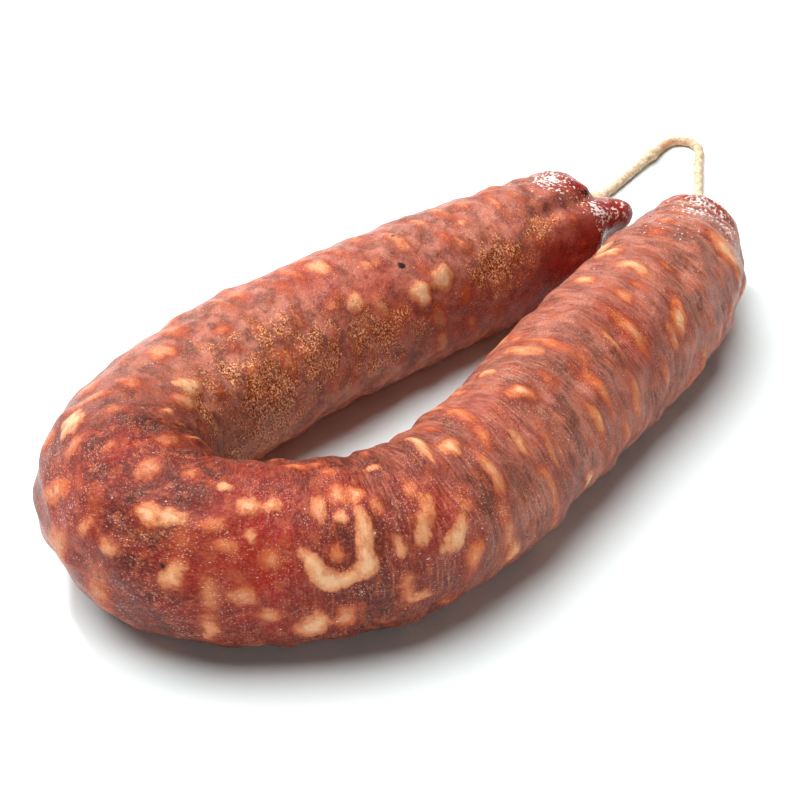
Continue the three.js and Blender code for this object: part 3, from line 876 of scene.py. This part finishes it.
class Tree:
    """A material's node tree, to which nodes are added by their type, settings and inputs."""

    def __init__(self, name):
        self.material = bpy.data.materials.new(name)
        self.material.use_nodes = True
        self.nodes = self.material.node_tree.nodes
        self.links = self.material.node_tree.links
        self.shader = self.nodes["Principled BSDF"]

    def node(self, kind, settings=None, inputs=None, output=0):
        node = self.nodes.new(kind)
        for name, setting in (settings or {}).items():
            setattr(node, name, setting)
        for name, value in (inputs or {}).items():
            self.put(node.inputs[name], value)
        return Value(self, node.outputs[output])

    def put(self, socket, value):
        if isinstance(value, Value):
            self.links.new(value.socket, socket)
        else:
            socket.default_value = value

    def attribute(self, name, output="Fac"):
        return self.node("ShaderNodeAttribute", {"attribute_name": name}, output=output)

    def noise(self, places, scale, detail=2.0, roughness=0.5, distortion=0.0):
        inputs = {"Vector": places, "Scale": scale, "Detail": detail, "Roughness": roughness}
        inputs["Distortion"] = distortion
        return self.node("ShaderNodeTexNoise", None, inputs)

    def cells(self, places, scale):
        """The distance from the nearest of many scattered points, and a number from 0 to 1 of its own."""
        distance = self.node("ShaderNodeTexVoronoi", None, {"Vector": places, "Scale": scale})
        return distance, Value(self, distance.socket.node.outputs["Color"])

    def mix(self, factor, first, second):
        """A colour between two, through the colour sockets of a Mix node."""
        return self.node("ShaderNodeMix", {"data_type": "RGBA"}, {0: factor, 6: first, 7: second}, 2)

    def stretch(self, places, scale):
        return self.node("ShaderNodeMapping", None, {"Vector": places, "Scale": scale})


class Value:
    """A node's output. Arithmetic on it adds Math nodes."""

    def __init__(self, tree, socket):
        self.tree = tree
        self.socket = socket

    def math(self, operation, first, second):
        return self.tree.node("ShaderNodeMath", {"operation": operation}, {0: first, 1: second})

    def __add__(self, other):
        return self.math("ADD", self, other)

    __radd__ = __add__

    def __sub__(self, other):
        return self.math("SUBTRACT", self, other)

    def __rsub__(self, other):
        return self.math("SUBTRACT", other, self)

    def __mul__(self, other):
        return self.math("MULTIPLY", self, other)

    __rmul__ = __mul__

    def ramp(self, low, high):
        """0 at low, 1 at high, and smooth between. Of two numbers, low may be the higher one."""
        if not isinstance(low, Value) and not isinstance(high, Value) and low > high:
            return 1 - self.ramp(high, low)
        settings = {"interpolation_type": "SMOOTHSTEP"}
        inputs = {"Value": self, "From Min": low, "From Max": high}
        return self.tree.node("ShaderNodeMapRange", settings, inputs)


def tint(red, green, blue):
    """A colour as a screen shows it, from 0 to 255, turned into the linear one that a shader takes."""
    shown = np.array([red, green, blue]) / 255
    linear = np.where(shown <= 0.04045, shown / 12.92, ((shown + 0.055) / 1.055) ** 2.4)
    return (*[float(part) for part in linear], 1.0)


# The stage: camera, floor and lights

FLOOR_COLOUR = (0.89, 0.97, 0.98, 1)
FLOOR_ROUGHNESS = 0.9
FLOOR_SIZE = 3.0
LAMP_COLOUR = (1, 0.99, 0.98)
LAMPS = [ # place to the camera's right, away from the camera and up; size; power
    ("key", (-0.3, 0.2, 1.1), 1.5, 29.5),
    ("spark", (-0.5, 0.7, 0.9), 0.14, 8.0),
    ("fill", (0.3, -1.2, 0.14), 0.6, 4.5),
]
SURROUNDING_LIGHT = 0.05


def view_directions():
    azimuth = np.radians(CAMERA_AZIMUTH)
    elevation = np.radians(CAMERA_ELEVATION)
    level = np.array([np.sin(azimuth), -np.cos(azimuth), 0.0])
    back = level * np.cos(elevation) + np.array([0, 0, np.sin(elevation)])
    right = np.array([np.cos(azimuth), np.sin(azimuth), 0.0])
    return right, np.cross(back, right), back


def make_camera():
    right, up, back = view_directions()
    data = bpy.data.cameras.new("camera")
    data.sensor_width = SENSOR
    data.lens = CAMERA_FOCUS / PICTURE * SENSOR
    camera = bpy.data.objects.new("camera", data)
    placed = Matrix((right, up, back)).transposed().to_4x4()
    placed.translation = Vector(CAMERA_PLACE) * MM
    camera.matrix_world = placed
    bpy.context.scene.collection.objects.link(camera)
    bpy.context.scene.camera = camera


def make_floor():
    tree = Tree("floor_paper")
    tree.shader.inputs["Base Color"].default_value = FLOOR_COLOUR
    tree.shader.inputs["Roughness"].default_value = FLOOR_ROUGHNESS
    mesh = bpy.data.meshes.new("floor")
    shape = bmesh.new()
    bmesh.ops.create_grid(shape, x_segments=1, y_segments=1, size=FLOOR_SIZE)
    shape.to_mesh(mesh)
    shape.free()
    mesh.materials.append(tree.material)
    floor = bpy.data.objects.new("floor", mesh)
    bpy.context.scene.collection.objects.link(floor)


def make_light(name, place, size, power):
    data = bpy.data.lights.new(name, "AREA")
    data.shape = "DISK"
    data.size = size
    data.energy = power
    data.color = LAMP_COLOUR
    light = bpy.data.objects.new(name, data)
    light.location = place
    light.rotation_mode = "QUATERNION"
    light.rotation_quaternion = (-Vector(place)).to_track_quat("-Z", "Y")
    bpy.context.scene.collection.objects.link(light)


def make_lights():
    """A wide light overhead, a small one behind it for highlights, and a low fill at the camera's side."""
    right, _, back = view_directions()
    away = unit(np.array([-back[0], -back[1], 0]))
    for name, (aside, beyond, height), size, power in LAMPS:
        place = aside * right + beyond * away + np.array([0, 0, height])
        make_light(name, tuple(place), size, power)
    world = bpy.data.worlds.new("studio")
    world.use_nodes = True
    background = world.node_tree.nodes["Background"]
    background.inputs["Color"].default_value = (1, 1, 1, 1)
    background.inputs["Strength"].default_value = SURROUNDING_LIGHT
    bpy.context.scene.world = world
    bpy.context.scene.view_settings.view_transform = "Standard"


make_camera()


# The twine

TWINE_CREAM = tint(226, 205, 178)
TWINE_SHADE = tint(184, 148, 108)
TWINE_STAIN = tint(192, 112, 62)
TWINE_FIBRE = (1100, 4, 0.6) # patterns: scale for each metre, detail and roughness
TWINE_SHADES = (300, 2)
TWINE_STAINS = (70, 2)
TWINE_ROUGHNESS = 0.9


def twine_material():
    tree = Tree("twine")
    places = tree.node("ShaderNodeTexCoord", output=3)
    fibre = tree.noise(places, *TWINE_FIBRE)
    shade = tree.noise(places, *TWINE_SHADES)
    stain = tree.noise(places, *TWINE_STAINS)
    colour = tree.mix(fibre.ramp(0.3, 0.66), TWINE_SHADE, TWINE_CREAM)
    colour = tree.mix(shade.ramp(0.5, 0.75) * 0.35, colour, TWINE_SHADE)
    colour = tree.mix(stain.ramp(0.6, 0.7) * 0.5, colour, TWINE_STAIN)
    tree.put(tree.shader.inputs["Base Color"], colour)
    tree.shader.inputs["Roughness"].default_value = TWINE_ROUGHNESS
    bump = tree.node("ShaderNodeBump", None, {"Height": fibre, "Strength": 0.6, "Distance": 0.0002})
    tree.put(tree.shader.inputs["Normal"], bump)
    return tree.material


TWINE = twine_material()


def make_twine_loop():
    route = spline(ROUTE, ROUTE_STEPS)
    piece = new_piece("twine", twisted_twine(route, TWINE_RADIUS, slub_at=SLUB_AT), TWINE)
    write_points(piece.data, read_points(piece.data) * MM)
    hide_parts("twine_loop")


def tie_line(centre, neck, knot_turn):
    """Close turns round the neck, from and to the knot."""
    across = unit(np.cross(neck, (0, 0, 1)))
    upright = np.cross(across, neck)
    angles = np.linspace(0, 2 * np.pi * TIE_TURNS, TIE_POINTS)
    reach = NECK_RADIUS + TIE_TWINE_RADIUS
    lift = np.linspace(-1, 1, len(angles)) * TIE_TWINE_RADIUS * TURNS_SPREAD
    turn = knot_turn + angles
    ring = np.cos(turn)[:, None] * across + np.sin(turn)[:, None] * upright
    return centre + reach * ring + lift[:, None] * neck


def knot_line(centre, neck, knot_turn):
    """A small trefoil knot, pulled tight, at the outer side of the turns."""
    across = unit(np.cross(neck, (0, 0, 1)))
    upright = np.cross(across, neck)
    outward = np.cos(knot_turn) * across + np.sin(knot_turn) * upright
    sideways = np.cross(neck, outward)
    t = np.linspace(0, 2 * np.pi, KNOT_POINTS)
    middle = centre + (NECK_RADIUS + 2 * TIE_TWINE_RADIUS) * outward
    first = (np.sin(t) + 2 * np.sin(2 * t))[:, None] * neck
    second = (np.cos(t) - 2 * np.cos(2 * t))[:, None] * sideways
    third = -np.sin(3 * t)[:, None] * outward
    return middle + KNOT_SIZE * (first + second + third)


def make_tie(name, end_centre, neck, radius, knot_turn):
    neck = unit(neck)
    centre = end_centre + neck * (radius + TIE_REACH)
    turns = twisted_twine(tie_line(centre, neck, knot_turn), TIE_TWINE_RADIUS)
    knot = twisted_twine(knot_line(centre, neck, knot_turn), TIE_TWINE_RADIUS * KNOT_THINNER)

    def both(shape):
        turns(shape)
        knot(shape)

    piece = new_piece(name + "_twine", both, TWINE)
    write_points(piece.data, read_points(piece.data) * MM)
    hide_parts(name)


make_twine_loop()
make_tie("tie_far", MIDDLE[0, :3], FAR_NECK, FAR_RADIUS, FAR_KNOT_TURN)
make_tie("tie_near", MIDDLE[-1, :3], NEAR_NECK, NEAR_RADIUS, NEAR_KNOT_TURN)


# The casing

MEAT_DARK = tint(64, 20, 16)
MEAT_RED = tint(104, 26, 16)
MEAT_MAUVE = tint(114, 47, 37)
MEAT_BRIGHT = tint(168, 20, 9)
MEAT_PALE = tint(192, 118, 94)
MEAT_PINK = tint(198, 126, 106)
DEEP_FAT = tint(182, 84, 48)
FAT_CREAM = tint(226, 164, 116)
FAT_PALE = tint(246, 206, 162)
FAT_ORANGE = tint(206, 104, 52)
FAT_SHADE = tint(178, 72, 38)
FAT_HALO = tint(150, 47, 25)
GOLD_BROWN = tint(196, 96, 40)
GOLD_DARK = tint(70, 28, 12)
# light grains of the golden areas: partly spice dust, partly painted glitter highlights
GOLD_LIGHT_AND_GLITTER = tint(250, 204, 156)
# painted highlight: colour of the tiny pale glints painted on the skin
PAINTED_GLINT = tint(232, 184, 160)
CRIMSON = tint(140, 10, 7)
# white of the flecks: partly salt bloom, partly painted highlights
BLOOM_AND_HIGHLIGHT_WHITE = tint(242, 230, 224)
SPECK_BLACK = tint(30, 20, 16)
# Patterns of the casing: scale for each millimetre, detail, roughness and distortion
ZONES = (0.07, 2)
LEAN = (0.26, 4, 0.6)
CRUMBS = (0.5, 3, 0.5)
FINE_MEAT = (1.1, 4, 0.7)
STREAKS = (1.1, 3, 0.6)
FAT_EDGE = (0.55, 3, 0.6)
FAT_PATCHES = (0.45, 3, 0.5, 0.6)
GOLD_PATCHES = (0.22, 4, 0.6, 0.8)
GRAINS = (2.1, 3, 0.75)
CROWDING = (0.16, 3, 0.6)
# scale of the dots of painted glint highlights
PAINTED_GLINT_DOTS = 2.3
FINE_SKIN = (0.9, 4, 0.65)
SKIN_GRAIN = (3.0, 3, 0.6)
FLECKS = (1.2, 4, 0.6)
WRINKLES = (1.0, 4, 0.6)
# How closely those patterns are packed across the straight skin, along it and up through it
STREAK_STRETCH = (0.3, 1.6, 0.3)
FLECK_STRETCH = (1, 0.7, 1)
WRINKLE_STRETCH = (0.35, 1.3, 0.35)
COAT_SHARE = 0.25
COAT_ROUGHNESS = 0.12
SKIN_SPECULAR = 0.18
GLOW_SHARE = 0.15 # of the light that passes a little way through the skin
GLOW_RADIUS = (1.0, 0.35, 0.2)
GLOW_SCALE = 0.0015
BUMP_STRENGTH = 0.7
BUMP_DISTANCE = 0.0005
FAT_RISE = 0.55
FAT_RISE_DEEP = 0.3 # the share of it that a piece deep in the meat has
SOFT_RISE = 1.2 # how far from a piece's edge its rise starts
DRAWN_SQUEEZE = 0.5 # widens the patterns round the skin where it is drawn tight, at 0.5 to twice
SKIN_LUMPS = [ # lumps of the skin: height, width, pattern
    (0.4, 9, 7),
    (0.62, 4.5, 1),
    (0.16, 1.9, 2),
]
DRAWN_LUMPS = [
    (0.22, 2.4, 3),
    (0.12, 1.3, 4),
    (0.7, 4.2, 8),
]
GLOSS_LUMPS = [
    (0.3, 2.2, 5),
    (0.16, 1.2, 6),
]
DRAWN_CLEARER = 0.4 # how much clearer the fat shows where the skin is drawn tight
BEND_AT = 178 # distance along of the bend's middle, where the meat is least pale
BEND_REACH = 22
PALE_FADE = 45


def lean_meat(tree, skin, flow):
    zones = tree.noise(skin, *ZONES)
    lean = tree.noise(flow, *LEAN)
    crumbs = tree.noise(flow, *CRUMBS)
    fine = tree.noise(skin, *FINE_MEAT)
    streaks = tree.noise(tree.stretch(flow, STREAK_STRETCH), *STREAKS)
    drawn = tree.attribute("drawn")
    red = tree.attribute("red")
    meat = tree.mix(lean.ramp(0.4, 0.58), MEAT_DARK, MEAT_RED)
    meat = tree.mix(zones.ramp(0.42, 0.58) * 0.55 + drawn * 0.3, meat, MEAT_MAUVE)
    meat = tree.mix(tree.attribute("pale") * (lean.ramp(0.4, 0.6) * 0.5 + 0.3), meat, MEAT_PINK)
    meat = tree.mix(red * (0.2 + lean * 1.3), meat, MEAT_BRIGHT)
    meat = tree.mix(crumbs.ramp(0.52, 0.64) * 0.5, meat, DEEP_FAT)
    meat = tree.mix(fine.ramp(0.52, 0.7) * 0.35, meat, MEAT_PALE)
    meat = tree.mix(fine.ramp(0.48, 0.3) * 0.35, meat, MEAT_DARK)
    meat = tree.mix(streaks.ramp(0.46, 0.34) * drawn * 0.45, meat, MEAT_DARK)
    return tree.mix(streaks.ramp(0.54, 0.66) * drawn * 0.6, meat, MEAT_PALE)


def with_fat(tree, meat, flow):
    fat = tree.attribute("fat")
    clear = tree.attribute("clear")
    warm = tree.attribute("warm")
    wobble = (tree.noise(flow, *FAT_EDGE) - 0.5) * 2.2
    patches = tree.noise(flow, *FAT_PATCHES)
    edge = fat + wobble
    soft = 1.15 - clear * 0.75
    inside = edge.ramp(-0.1 - soft, soft * 0.6)
    fat_colour = tree.mix(warm, FAT_CREAM, FAT_ORANGE)
    fat_colour = tree.mix(patches.ramp(0.44, 0.6) * (0.8 - clear * 0.4), fat_colour, FAT_SHADE)
    fat_colour = tree.mix(edge.ramp(0.7, -0.3) * (0.9 - clear * 0.4), fat_colour, FAT_SHADE)
    fat_colour = tree.mix(edge.ramp(0.5, 1.6) * clear * 0.6, fat_colour, FAT_PALE)
    halo = edge.ramp(-2.2, 0.3) * (0.2 + warm * 0.5)
    colour = tree.mix(halo, meat, FAT_HALO)
    return tree.mix(inside * (0.42 + clear * 0.58), colour, fat_colour)


def with_gold(tree, colour, skin):
    """The dull golden areas, full of grains that are light inside and dark between; the light grains are
    partly spice dust and partly painted glitter highlights.
    """
    uneven = tree.noise(skin, *GOLD_PATCHES)
    gold = (tree.attribute("gold") + (uneven - 0.5) * 2.4).ramp(0.25, 0.9)
    gold = gold * tree.attribute("gold").ramp(0.05, 0.4)
    grains = tree.noise(skin, *GRAINS)
    colour = tree.mix(gold * 0.65, colour, GOLD_BROWN)
    colour = tree.mix(grains.ramp(0.5, 0.4) * (gold * 0.85 + 0.08), colour, GOLD_DARK)
    return tree.mix(grains.ramp(0.54, 0.6) * (gold * 0.9 + 0.07), colour, GOLD_LIGHT_AND_GLITTER)


def with_painted_glints(tree, colour, skin):
    """Painted highlights: tiny pale glints standing in for sparkles of light on the skin, close together
    in some places and few in others.
    """
    crowding = tree.noise(skin, *CROWDING)
    from_dot, luck = tree.cells(skin, PAINTED_GLINT_DOTS)
    here = (luck + (crowding - 0.5) * 4.0).ramp(0.6, 0.74)
    return tree.mix(from_dot.ramp(0.4, 0.1) * here * 0.55, colour, PAINTED_GLINT)


def casing_material():
    tree = Tree("casing")
    skin = tree.attribute("skin", "Vector")
    flow = tree.attribute("flow", "Vector")
    gloss = tree.attribute("gloss")
    bloom_and_highlight = tree.attribute("bloom_and_highlight")
    fine = tree.noise(skin, *FINE_SKIN)
    grain = tree.noise(skin, *SKIN_GRAIN)
    flecks = tree.noise(tree.stretch(skin, FLECK_STRETCH), *FLECKS)
    colour = with_fat(tree, lean_meat(tree, skin, flow), flow)
    colour = with_gold(tree, colour, skin)
    colour = with_painted_glints(tree, colour, skin)
    colour = tree.mix(gloss * 0.95, colour, CRIMSON)
    # white flecks: salt bloom, and painted highlights where the skin at the ends is glossy and crinkled
    powder_and_highlight = (flecks + bloom_and_highlight * 0.24).ramp(0.7, 0.73)
    colour = tree.mix(powder_and_highlight * 0.9, colour, BLOOM_AND_HIGHLIGHT_WHITE)
    speck = tree.attribute("speck") + (fine - 0.5) * 1.6
    colour = tree.mix(speck.ramp(-0.3, 0.15), colour, SPECK_BLACK)
    tree.put(tree.shader.inputs["Base Color"], colour)
    roughness = 0.32 + (grain - 0.5) * 0.5 - gloss * 0.16 + powder_and_highlight * 0.3
    tree.put(tree.shader.inputs["Roughness"], roughness)
    tree.put(tree.shader.inputs["Coat Weight"], gloss * COAT_SHARE)
    tree.shader.inputs["Coat Roughness"].default_value = COAT_ROUGHNESS
    tree.shader.inputs["Specular IOR Level"].default_value = SKIN_SPECULAR
    tree.shader.inputs["Subsurface Weight"].default_value = GLOW_SHARE
    tree.shader.inputs["Subsurface Radius"].default_value = GLOW_RADIUS
    tree.shader.inputs["Subsurface Scale"].default_value = GLOW_SCALE
    wrinkles = tree.noise(tree.stretch(flow, WRINKLE_STRETCH), *WRINKLES) * tree.attribute("drawn")
    height = grain * 0.7 + fine * 0.9 + wrinkles * 2.0 + powder_and_highlight * 0.6
    inputs = {"Height": height, "Strength": BUMP_STRENGTH, "Distance": BUMP_DISTANCE}
    bump = tree.node("ShaderNodeBump", None, inputs)
    tree.put(tree.shader.inputs["Normal"], bump)
    return tree.material


def lumps(places, layers):
    return sum(height * lattice_noise(places / width, pattern) for height, width, pattern in layers)


def make_casing():
    piece = new_piece("casing", straight_casing, casing_material())
    straight = read_points(piece.data)
    along = straight[:, 1]
    fat = fat_field(straight)
    drawn = smooth_step((along / LENGTH - ROLLS_FROM) / ROLLS_FADE)
    gloss = soft_areas(straight, GLOSS_AREAS)
    squeeze = 1 - DRAWN_SQUEEZE * drawn
    flow = straight * np.stack([squeeze, np.ones_like(drawn), squeeze], axis=-1)
    fat_share = FAT_RISE_DEEP + (1 - FAT_RISE_DEEP) * fat.clear
    relief = FAT_RISE * smooth_step((fat.depth + SOFT_RISE) / (2 * SOFT_RISE)) * fat_share
    relief += lumps(straight, SKIN_LUMPS)
    relief += drawn * lumps(flow, DRAWN_LUMPS)
    relief += gloss * lumps(straight, GLOSS_LUMPS)
    keep_places(piece.data, "skin", straight)
    keep_places(piece.data, "flow", flow)
    keep_values(piece.data, "fat", fat.depth)
    keep_values(piece.data, "clear", np.minimum(fat.clear + DRAWN_CLEARER * drawn, 1))
    keep_values(piece.data, "warm", fat.warm)
    keep_values(piece.data, "gold", soft_areas(straight, GOLDEN_AREAS))
    keep_values(piece.data, "red", soft_areas(straight, RED_AREAS))
    keep_values(piece.data, "bloom_and_highlight", soft_areas(straight, BLOOM_AND_HIGHLIGHT_AREAS))
    keep_values(piece.data, "gloss", gloss)
    keep_values(piece.data, "drawn", drawn)
    keep_values(piece.data, "pale", smooth_step((np.abs(along - BEND_AT) - BEND_REACH) / PALE_FADE))
    keep_values(piece.data, "speck", speck_field(straight))
    write_points(piece.data, bend(straight, relief) * MM)
    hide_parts("sausage")


make_casing()
make_floor()
make_lights()
